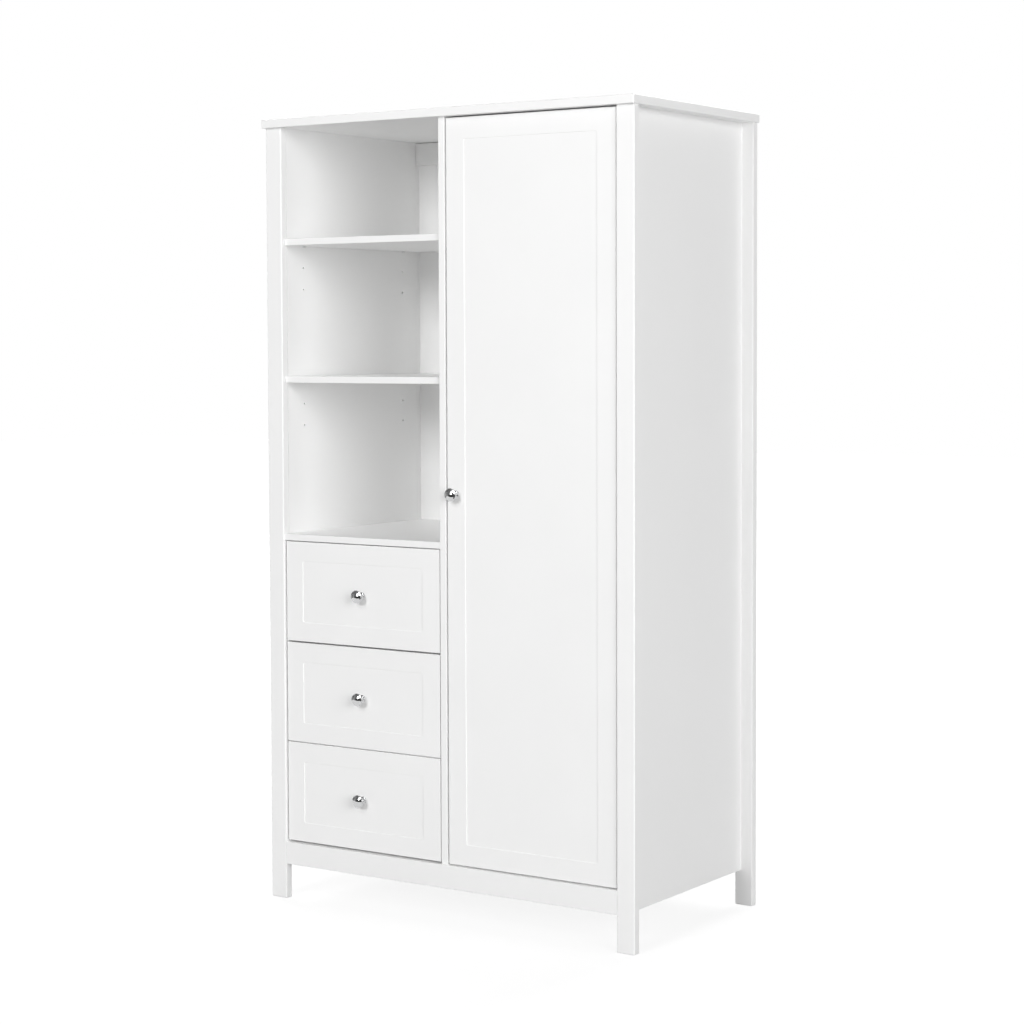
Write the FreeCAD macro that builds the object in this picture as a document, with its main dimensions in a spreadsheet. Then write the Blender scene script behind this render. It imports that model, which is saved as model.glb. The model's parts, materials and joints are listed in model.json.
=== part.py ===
import FreeCAD, Part
import os
import re
import Sketcher

# A white painted chifforobe: open shelves over three drawers, beside a tall hinged door.
# Millimetres. X runs across the front, Y runs from the front to the back, Z is up.
# The origin is on the floor, under the middle of the whole piece, knobs included.

# Counts and shares
DRAWERS = 3
HINGES = 4
PIN_HOLES = 3
SIDE_DOWEL_SHARES = (0.06, 0.35, 0.65, 0.94)
DEPTH_DOWEL_SHARES = (0.15, 0.5, 0.85)
NAIL_SHARES = (0.02, 0.26, 0.5, 0.74, 0.98)
SLIDE_SCREW_SHARES = (0.1, 0.9)
UPPER_SHELF_SHARE = 0.712
LOWER_SHELF_SHARE = 0.374

# Driving sizes, one spreadsheet cell each
SIZES = {
    # carcase
    "carcase_wide": 986,
    "carcase_deep": 540,
    "cabinet_high": 1800,
    "top_thick": 19,
    "top_side_over": 5,
    "top_front_over": 10,
    "top_round": 2,
    "post_wide": 44,
    "post_thick": 20,
    "post_round": 2.5,
    "side_thick": 15,
    "side_low": 81,
    "divider_thick": 16,
    "member_recess": 3,
    "member_round": 1,
    "floor_top": 133,
    "floor_thick": 15,
    "rail_thick": 16,
    "cleat_high": 53.5,
    "cleat_thick": 15,
    "cleat_clear": 1.5,
    "back_thick": 3,
    "back_rebate_wide": 8,
    "back_rebate_deep": 4,
    "back_side_clear": 0.5,
    "back_joint": 1,
    # shelves and their pins
    "deck_top": 850,
    "deck_thick": 15,
    "shelf_thick": 15,
    "shelf_recess": 10,
    "shelf_end_clear": 1,
    "shelf_back_clear": 2,
    "pin_hole_radius": 2.5,
    "pin_hole_deep": 10,
    "pin_hole_pitch": 50,
    "pin_front_dist": 79,
    "pin_column_gap": 384,
    "pin_fit": 0.1,
    "pin_out": 8,
    # door and drawer fronts
    "front_thick": 16,
    "front_recess": 5,
    "front_gap": 3,
    "front_round": 2,
    "door_panel_margin": 47.5,
    "drawer_panel_margin": 44.5,
    "panel_deep": 1.2,
    "panel_corner": 5,
    "panel_rim_round": 0.4,
    # gaps over each drawer front, and under the lowest
    "drawer_1_gap": 2.2,
    "drawer_2_gap": 3.5,
    "drawer_3_gap": 1.8,
    "drawer_low_gap": 4.5,
    # knobs and their screws
    "knob_long": 27,
    "knob_base_radius": 8.5,
    "knob_base_thick": 3,
    "knob_neck_radius": 5.5,
    "knob_neck_low": 4.5,
    "knob_neck_high": 14.5,
    "knob_head_radius": 14.5,
    "knob_rim_low": 19,
    "knob_rim_high": 22,
    "knob_rim_round": 1,
    "knob_ring_radius": 11.8,
    "knob_ring_out": 23,
    "knob_crown_radius": 11.2,
    "knob_crown_low": 23.4,
    "knob_edge_dist": 22.5,
    "knob_screw_radius": 2,
    "knob_screw_in": 10,
    "knob_screw_head_radius": 4,
    "knob_screw_head_thick": 2.5,
    "screw_fit": 0.1,
    # drawer boxes
    "drawer_side_thick": 12,
    "drawer_side_high": 160,
    "drawer_side_up": 25,
    "drawer_back_gap": 45,
    "drawer_bottom_thick": 3,
    "drawer_bottom_up": 10,
    "groove_deep": 5,
    "groove_clear": 0.1,
    # drawer slides
    "slide_space": 12.5,
    "slide_high": 35,
    "slide_short": 20,
    "slide_up": 60,
    "slide_sheet": 1.2,
    "slide_front_gap": 3,
    "channel_reach": 10.5,
    "rail_reach": 9.5,
    "slide_clear": 0.3,
    # door hinges
    "hinge_end_dist": 110,
    "hinge_edge_dist": 10,
    "hinge_axis_deep": 8.5,
    "hinge_pin_radius": 1.75,
    "hinge_pin_clear": 0.06,
    "hinge_eye_radius": 3.5,
    "arm_thick": 5,
    "arm_high": 8,
    "arm_back": 38,
    "arm_foot_thick": 2.5,
    "arm_foot_long": 34,
    "plate_thick": 3,
    "plate_long": 44,
    "plate_high": 44,
    "plate_screw_gap": 32,
    "notch_clear": 0.6,
    "notch_skin": 3.9,
    "cup_radius": 17.5,
    "cup_deep": 12.5,
    "cup_edge_dist": 5,
    "cup_wall": 0.8,
    "cup_fit": 0.1,
    "cup_flange_radius": 19,
    "cup_flange_thick": 1.2,
    "cup_wing_high": 62,
    "cup_wing_wide": 15,
    "cup_screw_gap": 48,
    # clothes rail
    "hang_rail_radius": 12.5,
    "hang_rail_wall": 1.2,
    "hang_rail_drop": 91,
    "socket_flange_radius": 25,
    "socket_flange_thick": 3,
    "socket_collar_radius": 15.8,
    "socket_collar_long": 14,
    "socket_clear": 0.3,
    "socket_screw_circle": 20,
    # fasteners
    "dowel_radius": 4,
    "dowel_long": 28,
    "dowel_in_face": 10.5,
    "dowel_fit": 0.1,
    "nail_radius": 0.9,
    "nail_long": 16,
    "nail_head_radius": 2.2,
    "nail_head_thick": 0.7,
    "nail_fit": 0.1,
    "wood_screw_radius": 1.75,
    "wood_screw_long": 13,
    "wood_screw_head_radius": 3.5,
    "wood_screw_head_thick": 1.6,
    "cut_over": 1,
}

# Places that several pieces share, worked out from the sizes
POST_FRONT = "((knob_long - front_recess - carcase_deep) / 2)"
POST_BACK = f"({POST_FRONT} + carcase_deep)"
INNER = "(carcase_wide / 2 - post_wide)"
INNER_WIDE = "(carcase_wide - 2 * post_wide)"
HALF_DIVIDER = "(divider_thick / 2)"
BAY_WIDE = f"({INNER} - {HALF_DIVIDER})"
TOP_LOW = "(cabinet_high - top_thick)"
FLOOR_LOW = "(floor_top - floor_thick)"
DECK_LOW = "(deck_top - deck_thick)"
BACK_FACE = f"({POST_BACK} - back_rebate_deep)"
SIDE_FRONT = f"({POST_FRONT} + post_thick)"
SIDE_DEEP = "(carcase_deep - 2 * post_thick)"
SIDE_MID = f"({INNER} + side_thick / 2)"
MEMBER_FRONT = f"({POST_FRONT} + member_recess)"
MEMBER_DEEP = "(carcase_deep - back_rebate_deep - member_recess)"
FRONT_FACE = f"({POST_FRONT} + front_recess)"
FRONT_BACK = f"({FRONT_FACE} + front_thick)"
FRONT_WIDE = f"({BAY_WIDE} - 2 * front_gap)"
DRAWER_GAPS = [f"drawer_{number}_gap" for number in range(1, DRAWERS + 1)]
DRAWER_STACK = f"({DECK_LOW} - floor_top - drawer_low_gap - {' - '.join(DRAWER_GAPS)})"
DRAWER_HIGH = f"({DRAWER_STACK} / {DRAWERS})"
DOOR_LEFT = f"({HALF_DIVIDER} + front_gap)"
DOOR_RIGHT = f"({INNER} - front_gap)"
DOOR_LOW = "(floor_top + front_gap)"
DOOR_HIGH = f"({TOP_LOW} - front_gap - {DOOR_LOW})"
HINGE_X = f"({DOOR_RIGHT} - hinge_edge_dist)"
HINGE_Y = f"({FRONT_FACE} + hinge_axis_deep)"
CUP_X = f"({DOOR_RIGHT} - cup_edge_dist - cup_radius)"
HANG_RAIL_Y = f"(({POST_FRONT} + {POST_BACK}) / 2)"
HANG_RAIL_Z = f"({TOP_LOW} - hang_rail_drop)"
BOX_DEEP = "(carcase_deep - back_rebate_deep - front_recess - front_thick - drawer_back_gap)"
SLIDE_LONG = f"({BOX_DEEP} - slide_short)"
OPEN_HIGH = f"({TOP_LOW} - deck_top)"
SHELF_LOWS = {
    "upper_shelf": f"(deck_top + {UPPER_SHELF_SHARE} * {OPEN_HIGH})",
    "lower_shelf": f"(deck_top + {LOWER_SHELF_SHARE} * {OPEN_HIGH})",
}

AXES = {
    "+x": FreeCAD.Vector(1, 0, 0),
    "-x": FreeCAD.Vector(-1, 0, 0),
    "+y": FreeCAD.Vector(0, 1, 0),
    "-y": FreeCAD.Vector(0, -1, 0),
    "+z": FreeCAD.Vector(0, 0, 1),
    "-z": FreeCAD.Vector(0, 0, -1),
}

doc = FreeCAD.newDocument("chifforobe")
sheet = doc.addObject("Spreadsheet::Sheet", "dims")
for row, (alias, value) in enumerate(SIZES.items(), start=1):
    sheet.set(f"A{row}", alias)
    sheet.set(f"B{row}", str(value))
    sheet.setAlias(f"B{row}", alias)
doc.recompute()

blanks = {}
cuts = {}


def bind(item, prop, text):
    """Tie a property to spreadsheet cells, written by their bare names."""
    item.setExpression(prop, re.sub(r"[A-Za-z_]\w*", lambda word: "dims." + word.group(), text))


def put(item, place):
    """Tie the corner or centre of an item to a place given as three texts."""
    for letter, text in zip("xyz", place):
        bind(item, f"Placement.Base.{letter}", text)


def shift(place, way, amount):
    """Move a place by an amount along one of the six ways."""
    moved = list(place)
    index = "xyz".index(way[1])
    moved[index] = f"({place[index]} {way[0]} ({amount}))"
    return tuple(moved)


def box(name, place, size):
    """A block with its lowest corner at the place."""
    item = doc.addObject("Part::Box", name)
    for prop, text in zip(("Length", "Width", "Height"), size):
        bind(item, prop, text)
    put(item, place)
    return item


def rod(name, way, place, radius, long):
    """A round rod that starts at the place and runs along a way."""
    item = doc.addObject("Part::Cylinder", name)
    item.Placement.Rotation = FreeCAD.Rotation(FreeCAD.Vector(0, 0, 1), AXES[way])
    bind(item, "Radius", radius)
    bind(item, "Height", long)
    put(item, place)
    return item


def fuse(name, items):
    """Join items into one solid."""
    item = doc.addObject("Part::MultiFuse", name)
    item.Shapes = items
    return item


def group(name, items):
    """Keep items together as separate solids."""
    item = doc.addObject("Part::Compound", name)
    item.Links = items
    return item


def cut(name, base, tools):
    """Take the tools away from the base."""
    item = doc.addObject("Part::Cut", name)
    item.Base = base
    item.Tool = tools[0] if len(tools) == 1 else group(name + "_tools", tools)
    return item


def node(label, item):
    """Register a finished blank under the name of its node."""
    item.Label = label + "_blank"
    blanks[label] = item
    cuts[label] = []
    return item


def board(label, place, size):
    """A square-edged board."""
    return node(label, box(label, place, size))


def edges_where(feature, test):
    """Names of the feature's edges whose middle passes the test."""
    names = []
    for number, edge in enumerate(feature.Shape.Edges, start=1):
        if test(edge.CenterOfGravity, edge):
            names.append(f"Edge{number}")
    return names


def rounded_body(label, place, size, radius, test):
    """A board as a body, with the edges that pass the test rounded over."""
    body = doc.addObject("PartDesign::Body", label)
    slab = body.newObject("PartDesign::AdditiveBox", label + "_slab")
    for prop, text in zip(("Length", "Width", "Height"), size):
        bind(slab, prop, text)
    put(body, place)
    doc.recompute()
    edge_round = body.newObject("PartDesign::Fillet", label + "_round")
    edge_round.Base = (slab, edges_where(slab, test))
    bind(edge_round, "Radius", radius)
    body.Tip = edge_round
    return body, edge_round


def rounded_board(label, place, size, radius, test):
    """A board with some edges rounded, registered as a node."""
    body, _ = rounded_body(label, place, size, radius, test)
    return node(label, body)


def routed_front(label, place, size, margins):
    """A door or drawer front: rounded slab with a shallow routed panel in its face."""
    body, edge_round = rounded_body(label, place, size, "front_round", lambda middle, edge: True)
    recess = body.newObject("PartDesign::SubtractiveBox", label + "_recess")
    side_margin, end_margin = margins
    bind(recess, "Length", f"{size[0]} - 2 * {side_margin}")
    bind(recess, "Width", "panel_deep")
    bind(recess, "Height", f"{size[2]} - 2 * {end_margin}")
    put(recess, (side_margin, "0", end_margin))
    doc.recompute()
    depth = SIZES["panel_deep"]

    def is_corner(middle, edge):
        return abs(edge.Length - depth) < depth / 10 and abs(middle.y - depth / 2) < depth / 10

    corners = body.newObject("PartDesign::Fillet", label + "_corners")
    corners.Base = (recess, edges_where(recess, is_corner))
    bind(corners, "Radius", "panel_corner")
    doc.recompute()
    inside = corners.Shape.BoundBox
    edge = SIZES["front_round"]

    def is_rim(middle, rim):
        on_face = abs(rim.BoundBox.YMax) < depth / 10
        clear_x = inside.XMin + 2 * edge < middle.x < inside.XMax - 2 * edge
        clear_z = inside.ZMin + 2 * edge < middle.z < inside.ZMax - 2 * edge
        return on_face and clear_x and clear_z

    rim = body.newObject("PartDesign::Fillet", label + "_rim")
    rim.Base = (corners, edges_where(corners, is_rim))
    bind(rim, "Radius", "panel_rim_round")
    body.Tip = rim
    return node(label, body)


def not_top(middle, edge):
    """True for edges below the upper end of a board."""
    return edge.BoundBox.ZMin < SIZES["post_round"]


def front_edges(middle, edge):
    """True for the long edges of a board's front."""
    return edge.BoundBox.YMax < SIZES["member_round"] and edge.Length > SIZES["cut_over"]


def front_lengthwise(middle, edge):
    """True for the front edges that run across the cabinet."""
    return front_edges(middle, edge) and edge.BoundBox.XLength > edge.BoundBox.ZLength


def front_upright(middle, edge):
    """True for the front edges that stand upright."""
    return front_edges(middle, edge) and edge.BoundBox.ZLength > edge.BoundBox.XLength


# Top, posts, sides and the frame of the carcase
rounded_board(
    "top_panel",
    ("-(carcase_wide / 2 + top_side_over)", f"{POST_FRONT} - top_front_over", TOP_LOW),
    ("carcase_wide + 2 * top_side_over", "carcase_deep + top_front_over", "top_thick"),
    "top_round",
    lambda middle, edge: True,
)

for side, post_x in (("left", "-carcase_wide / 2"), ("right", INNER)):
    for end, post_y in (("front", POST_FRONT), ("rear", f"{POST_BACK} - post_thick")):
        rounded_board(
            f"post_{end}_{side}",
            (post_x, post_y, "0"),
            ("post_wide", "post_thick", TOP_LOW),
            "post_round",
            not_top,
        )

SIDE_SIZE = ("side_thick", SIDE_DEEP, f"{TOP_LOW} - side_low")
board("side_panel_left", (f"-({INNER} + side_thick)", SIDE_FRONT, "side_low"), SIDE_SIZE)
board("side_panel_right", (INNER, SIDE_FRONT, "side_low"), SIDE_SIZE)

rounded_board(
    "divider_panel",
    (f"-{HALF_DIVIDER}", MEMBER_FRONT, "floor_top"),
    ("divider_thick", MEMBER_DEEP, f"{TOP_LOW} - floor_top"),
    "member_round",
    front_upright,
)
board(
    "bottom_panel",
    (f"-{INNER}", f"{POST_FRONT} + rail_thick", FLOOR_LOW),
    (INNER_WIDE, "carcase_deep - back_rebate_deep - rail_thick", "floor_thick"),
)
rounded_board(
    "front_bottom_rail",
    (f"-{INNER}", POST_FRONT, "side_low"),
    (INNER_WIDE, "rail_thick", "floor_top - side_low"),
    "member_round",
    front_lengthwise,
)
board(
    "rear_bottom_rail",
    (f"-{INNER}", f"{BACK_FACE} - rail_thick", "side_low"),
    (INNER_WIDE, "rail_thick", f"{FLOOR_LOW} - side_low"),
)
for side, cleat_x in (("left", f"-{INNER}"), ("right", HALF_DIVIDER)):
    board(
        f"rear_top_rail_{side}",
        (cleat_x, f"{BACK_FACE} - cleat_thick", f"{TOP_LOW} - cleat_clear - cleat_high"),
        (BAY_WIDE, "cleat_thick", "cleat_high"),
    )

# Thin back boards, held in rebates along the rear posts
BACK_WIDE = f"({INNER} + back_rebate_wide - back_side_clear - back_joint / 2)"
BACK_HIGH = f"({TOP_LOW} - side_low)"
for side, back_x in (("left", f"-({BACK_WIDE} + back_joint / 2)"), ("right", "back_joint / 2")):
    board(
        f"back_panel_{side}",
        (back_x, BACK_FACE, "side_low"),
        (BACK_WIDE, "back_thick", BACK_HIGH),
    )
REBATE_SIZE = ("back_rebate_wide + cut_over", "back_rebate_deep + cut_over", f"{BACK_HIGH} + cut_over")
for side, rebate_x in (("left", f"-({INNER} + back_rebate_wide)"), ("right", f"{INNER} - cut_over")):
    rebate = box(f"rebate_{side}", (rebate_x, BACK_FACE, "side_low"), REBATE_SIZE)
    cuts[f"post_rear_{side}"].append(rebate)

# Fixed deck above the drawers, and the two loose shelves
rounded_board(
    "deck_shelf",
    (f"-{INNER}", MEMBER_FRONT, DECK_LOW),
    (BAY_WIDE, MEMBER_DEEP, "deck_thick"),
    "member_round",
    front_lengthwise,
)
for label, shelf_low in SHELF_LOWS.items():
    rounded_board(
        label,
        (f"-{INNER} + shelf_end_clear", f"{POST_FRONT} + shelf_recess", shelf_low),
        (
            f"{BAY_WIDE} - 2 * shelf_end_clear",
            "carcase_deep - back_rebate_deep - shelf_recess - shelf_back_clear",
            "shelf_thick",
        ),
        "member_round",
        front_lengthwise,
    )


def half_rod(name, way, place, radius, long):
    """A rod with a flat top: only the half below its axis."""
    item = rod(name, way, place, radius, long)
    item.Angle = 180
    down = AXES["-z"]
    along = AXES[way]
    item.Placement.Rotation = FreeCAD.Rotation(down.cross(along), down, along, "ZYX")
    return item


# Shelf pins, and the columns of holes that they stand in
pins = []
for label, shelf_low in SHELF_LOWS.items():
    for wall, way, wall_x in (
        ("side_panel_left", "+x", f"-{INNER}"),
        ("divider_panel", "-x", f"-{HALF_DIVIDER}"),
    ):
        for column in range(2):
            pin_y = f"{POST_FRONT} + pin_front_dist + {column} * pin_column_gap"
            for hole in range(PIN_HOLES):
                mouth = (wall_x, pin_y, f"{shelf_low} - {hole} * pin_hole_pitch")
                start = shift(mouth, way, "-pin_hole_deep")
                name = f"{label}_{wall}_hole_{column}_{hole}"
                bore = rod(name, way, start, "pin_hole_radius", "pin_hole_deep + cut_over")
                cuts[wall].append(bore)
            mouth = (wall_x, pin_y, shelf_low)
            seat = shift(mouth, way, "pin_fit - pin_hole_deep")
            name = f"{label}_{wall}_pin_{column}"
            held = rod(name + "_held", way, seat, "pin_hole_radius - pin_fit", "pin_hole_deep - pin_fit")
            ledge = half_rod(name + "_ledge", way, mouth, "pin_hole_radius", "pin_out")
            pins.append(fuse(name, [held, ledge]))
node("shelf_pins", group("shelf_pins", pins))


def wood_screw(name, way, place, into):
    """A pan-head screw: head on the place, shank along the way, bored into the named nodes."""
    back = {"+": "-", "-": "+"}[way[0]] + way[1]
    head = rod(name + "_head", back, place, "wood_screw_head_radius", "wood_screw_head_thick")
    shank = rod(name + "_shank", way, place, "wood_screw_radius", "wood_screw_long")
    bore_start = shift(place, back, "cut_over")
    bore = rod(
        name + "_bore",
        way,
        bore_start,
        "wood_screw_radius + screw_fit",
        "wood_screw_long + screw_fit + cut_over",
    )
    for label in into:
        cuts[label].append(bore)
    return fuse(name, [head, shank])


# Knobs: turned mushroom shapes, held by a screw from behind
KNOB_OUTLINE = (
    (None, None),
    ("knob_base_radius", None),
    ("knob_base_radius", "knob_base_thick"),
    ("knob_neck_radius", "knob_neck_low"),
    ("knob_neck_radius", "knob_neck_high"),
    ("knob_head_radius", "knob_rim_low"),
    ("knob_head_radius", "knob_rim_high"),
    ("knob_ring_radius", "knob_ring_out"),
    ("knob_crown_radius", "knob_crown_low"),
    (None, "knob_long"),
)


def hold_point(sketch, geometry, end, point):
    """Fix one end of a sketch line at sizes from the sheet, or on an axis where there is none."""
    for axis_line, kind, alias in ((-2, "DistanceX", point[0]), (-1, "DistanceY", point[1])):
        if alias is None:
            sketch.addConstraint(Sketcher.Constraint("PointOnObject", geometry, end, axis_line))
            continue
        index = sketch.addConstraint(Sketcher.Constraint(kind, -1, 1, geometry, end, SIZES[alias]))
        bind(sketch, f"Constraints[{index}]", alias)


def turned_knob(label, place):
    """A knob turned about its own axis, with its base at the place and its head to the front."""
    body = doc.addObject("PartDesign::Body", label)
    plane = next(item for item in body.Origin.OriginFeatures if item.Role == "XY_Plane")
    sketch = body.newObject("Sketcher::SketchObject", label + "_outline")
    sketch.AttachmentSupport = [(plane, "")]
    sketch.MapMode = "FlatFace"
    spots = []
    for radius, out in KNOB_OUTLINE:
        spots.append(FreeCAD.Vector(SIZES.get(radius, 0), SIZES.get(out, 0), 0))
    last = len(spots) - 1
    for index in range(last - 1):
        sketch.addGeometry(Part.LineSegment(spots[index], spots[index + 1]))
    rise = spots[last].y - spots[last - 1].y
    reach = spots[last - 1].x
    crown = (reach * reach + rise * rise) / (2 * rise)
    middle = FreeCAD.Vector(0, spots[last].y - crown, 0)
    slant = spots[last - 1] - middle
    halfway = (slant + FreeCAD.Vector(0, crown, 0)).normalize() * crown + middle
    dome = sketch.addGeometry(Part.Arc(spots[last - 1], halfway, spots[last]))
    spindle = sketch.addGeometry(Part.LineSegment(spots[last], spots[0]))
    for index in range(last - 1):
        hold_point(sketch, index, 1, KNOB_OUTLINE[index])
        if index:
            sketch.addConstraint(Sketcher.Constraint("Coincident", index - 1, 2, index, 1))
    hold_point(sketch, last - 2, 2, KNOB_OUTLINE[last - 1])
    sketch.addConstraint(Sketcher.Constraint("Coincident", dome, 1, last - 2, 2))
    sketch.addConstraint(Sketcher.Constraint("PointOnObject", dome, 3, -2))
    hold_point(sketch, spindle, 1, KNOB_OUTLINE[last])
    sketch.addConstraint(Sketcher.Constraint("Coincident", dome, 2, spindle, 1))
    sketch.addConstraint(Sketcher.Constraint("Coincident", spindle, 2, 0, 1))
    turning = body.newObject("PartDesign::Revolution", label + "_turning")
    turning.Profile = sketch
    turning.ReferenceAxis = (sketch, ["V_Axis"])
    doc.recompute()

    def is_rim(middle, edge):
        return edge.BoundBox.XLength > 2 * SIZES["knob_ring_radius"] + SIZES["knob_rim_round"]

    rim = body.newObject("PartDesign::Fillet", label + "_rim")
    rim.Base = (turning, edges_where(turning, is_rim))
    bind(rim, "Radius", "knob_rim_round")
    body.Tip = rim
    body.Placement.Rotation = FreeCAD.Rotation(AXES["+z"], 180)
    put(body, place)
    return node(label, body)


def knob_with_screw(owner, front, base, through):
    """A knob on a front, and the screw that comes through the front from behind."""
    turned_knob(f"{owner}_knob", base)
    behind = shift(base, "+y", through)
    name = f"{owner}_knob_screw"
    head = rod(name + "_head", "+y", behind, "knob_screw_head_radius", "knob_screw_head_thick")
    shank_long = f"{through} + knob_screw_in"
    shank = rod(name + "_shank", "-y", behind, "knob_screw_radius", shank_long)
    node(name, fuse(name, [head, shank]))
    bore = rod(
        name + "_bore",
        "-y",
        shift(behind, "+y", "cut_over"),
        "knob_screw_radius + screw_fit",
        f"{shank_long} + screw_fit + cut_over",
    )
    cuts[front].append(bore)
    cuts[f"{owner}_knob"].append(bore)


# Door, hung on concealed hinges at its right edge
routed_front(
    "door_panel",
    (DOOR_LEFT, FRONT_FACE, DOOR_LOW),
    (FRONT_WIDE, "front_thick", DOOR_HIGH),
    ("door_panel_margin", "door_panel_margin"),
)
door_knob_place = (f"{DOOR_LEFT} + knob_edge_dist", FRONT_FACE, f"{DOOR_LOW} + {DOOR_HIGH} / 2")
knob_with_screw("door", "door_panel", door_knob_place, "front_thick")


def hinge_cup(name, height):
    """The door half of a hinge: a flanged cup with a slot to the edge and a pin across it."""
    floor_y = f"{FRONT_BACK} - cup_deep + cup_fit"
    shell = rod(name + "_shell", "+y", (CUP_X, floor_y, height), "cup_radius - cup_fit", "cup_deep - cup_fit")
    flange_place = (CUP_X, FRONT_BACK, height)
    flange = rod(name + "_flange", "+y", flange_place, "cup_flange_radius", "cup_flange_thick")
    wing = box(
        name + "_wing",
        (f"{CUP_X} - cup_wing_wide / 2", FRONT_BACK, f"{height} - cup_wing_high / 2"),
        ("cup_wing_wide", "cup_flange_thick", "cup_wing_high"),
    )
    hollow_y = f"{floor_y} + cup_wall"
    hollow_deep = "cup_deep - cup_fit - cup_wall + cup_flange_thick + cut_over"
    hollow = rod(
        name + "_hollow", "+y", (CUP_X, hollow_y, height), "cup_radius - cup_fit - cup_wall", hollow_deep
    )
    slot = box(
        name + "_slot",
        (CUP_X, hollow_y, f"{height} - arm_high / 2 - notch_clear"),
        ("cup_flange_radius + cut_over", hollow_deep, "arm_high + 2 * notch_clear"),
    )
    open_shell = cut(name + "_open", fuse(name + "_solid", [shell, flange, wing]), [hollow, slot])
    bar_place = (HINGE_X, HINGE_Y, f"{height} - cup_radius")
    pin = doc.addObject("Part::Common", name + "_pin")
    pin.Base = rod(name + "_pin_bar", "+z", bar_place, "hinge_pin_radius", "2 * cup_radius")
    pin.Tool = shell
    return fuse(name, [open_shell, pin])


def hinge_arm(name, height):
    """The cabinet half of a hinge: an eye on the pin, a cranked bar and a foot on the plate."""
    low = f"{height} - arm_high / 2"
    eye = rod(name + "_eye", "+z", (HINGE_X, HINGE_Y, low), "hinge_eye_radius", "arm_high")
    bar = box(
        name + "_bar",
        (f"{HINGE_X} - arm_thick / 2", HINGE_Y, low),
        ("arm_thick", "arm_back - hinge_axis_deep", "arm_high"),
    )
    crank_y = f"{FRONT_FACE} + arm_back - arm_thick"
    crank = box(
        name + "_crank",
        (f"{HINGE_X} - arm_thick / 2", crank_y, low),
        ("hinge_edge_dist + front_gap - plate_thick + arm_thick / 2", "arm_thick", "arm_high"),
    )
    foot = box(
        name + "_foot",
        (f"{INNER} - plate_thick - arm_foot_thick", crank_y, low),
        ("arm_foot_thick", "arm_foot_long", "arm_high"),
    )
    bore = rod(
        name + "_bore",
        "+z",
        (HINGE_X, HINGE_Y, f"{low} - cut_over"),
        "hinge_pin_radius + hinge_pin_clear",
        "arm_high + 2 * cut_over",
    )
    return cut(name, fuse(name + "_solid", [eye, bar, crank, foot]), [bore])


plate_y = f"({FRONT_FACE} + arm_back - arm_thick)"
plates = []
arms = []
cups = []
hinge_heights = []
for number in range(HINGES):
    step_share = number / (HINGES - 1)
    height = f"({DOOR_LOW} + hinge_end_dist + {step_share} * ({DOOR_HIGH} - 2 * hinge_end_dist))"
    hinge_heights.append(height)
    cups.append(hinge_cup(f"hinge_cup_{number}", height))
    arms.append(hinge_arm(f"hinge_arm_{number}", height))
    plate_place = (f"{INNER} - plate_thick", plate_y, f"{height} - plate_high / 2")
    plates.append(box(f"hinge_plate_{number}", plate_place, ("plate_thick", "plate_long", "plate_high")))
    bore_place = (CUP_X, f"{FRONT_BACK} - cup_deep", height)
    bore = rod(f"cup_bore_{number}", "+y", bore_place, "cup_radius", "cup_deep + cut_over")
    notch = box(
        f"edge_notch_{number}",
        (
            f"{HINGE_X} - hinge_eye_radius - notch_clear",
            f"{FRONT_FACE} + notch_skin",
            f"{height} - arm_high / 2 - notch_clear",
        ),
        (
            "hinge_edge_dist + hinge_eye_radius + notch_clear + cut_over",
            "front_thick - notch_skin + cut_over",
            "arm_high + 2 * notch_clear",
        ),
    )
    cuts["door_panel"] += [bore, notch]
node("hinge_cups", group("hinge_cups", cups))
node("hinge_arms", group("hinge_arms", arms))
node("hinge_plates", group("hinge_plates", plates))

cup_screws = []
plate_screws = []
for number, height in enumerate(hinge_heights):
    for end, sign in (("low", "-"), ("high", "+")):
        cup_place = (CUP_X, f"{FRONT_BACK} + cup_flange_thick", f"{height} {sign} cup_screw_gap / 2")
        cup_screws.append(wood_screw(f"cup_screw_{number}_{end}", "-y", cup_place, ["hinge_cups", "door_panel"]))
        plate_place = (
            f"{INNER} - plate_thick",
            f"{plate_y} + plate_long / 2",
            f"{height} {sign} plate_screw_gap / 2",
        )
        name = f"plate_screw_{number}_{end}"
        plate_screws.append(wood_screw(name, "+x", plate_place, ["hinge_plates", "side_panel_right"]))
node("hinge_cup_screws", group("hinge_cup_screws", cup_screws))
node("hinge_plate_screws", group("hinge_plate_screws", plate_screws))

# Clothes rail across the door bay, in a flanged socket at each end
sockets = []
socket_screws = []
node("hanging_rail_sockets", group("hanging_rail_sockets", sockets))
for side, way, wall_x, wall in (
    ("left", "+x", HALF_DIVIDER, "divider_panel"),
    ("right", "-x", INNER, "side_panel_right"),
):
    centre = (wall_x, HANG_RAIL_Y, HANG_RAIL_Z)
    name = f"socket_{side}"
    flange = rod(name + "_flange", way, centre, "socket_flange_radius", "socket_flange_thick")
    collar = rod(name + "_collar", way, centre, "socket_collar_radius", "socket_collar_long")
    bore_place = shift(centre, way, "socket_flange_thick")
    bore = rod(name + "_bore", way, bore_place, "hang_rail_radius + socket_clear", "socket_collar_long")
    sockets.append(cut(name, fuse(name + "_solid", [flange, collar]), [bore]))
    into = {"+x": "-x", "-x": "+x"}[way]
    for end, sign in (("low", "-"), ("high", "+")):
        hole = shift(bore_place, "+z", f"{sign} socket_screw_circle")
        screw = wood_screw(f"socket_screw_{side}_{end}", into, hole, ["hanging_rail_sockets", wall])
        socket_screws.append(screw)
blanks["hanging_rail_sockets"].Links = sockets
node("socket_screws", group("socket_screws", socket_screws))
rail_start = (f"{HALF_DIVIDER} + socket_flange_thick + socket_clear", HANG_RAIL_Y, HANG_RAIL_Z)
rail_long = f"{BAY_WIDE} - 2 * (socket_flange_thick + socket_clear)"
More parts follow.
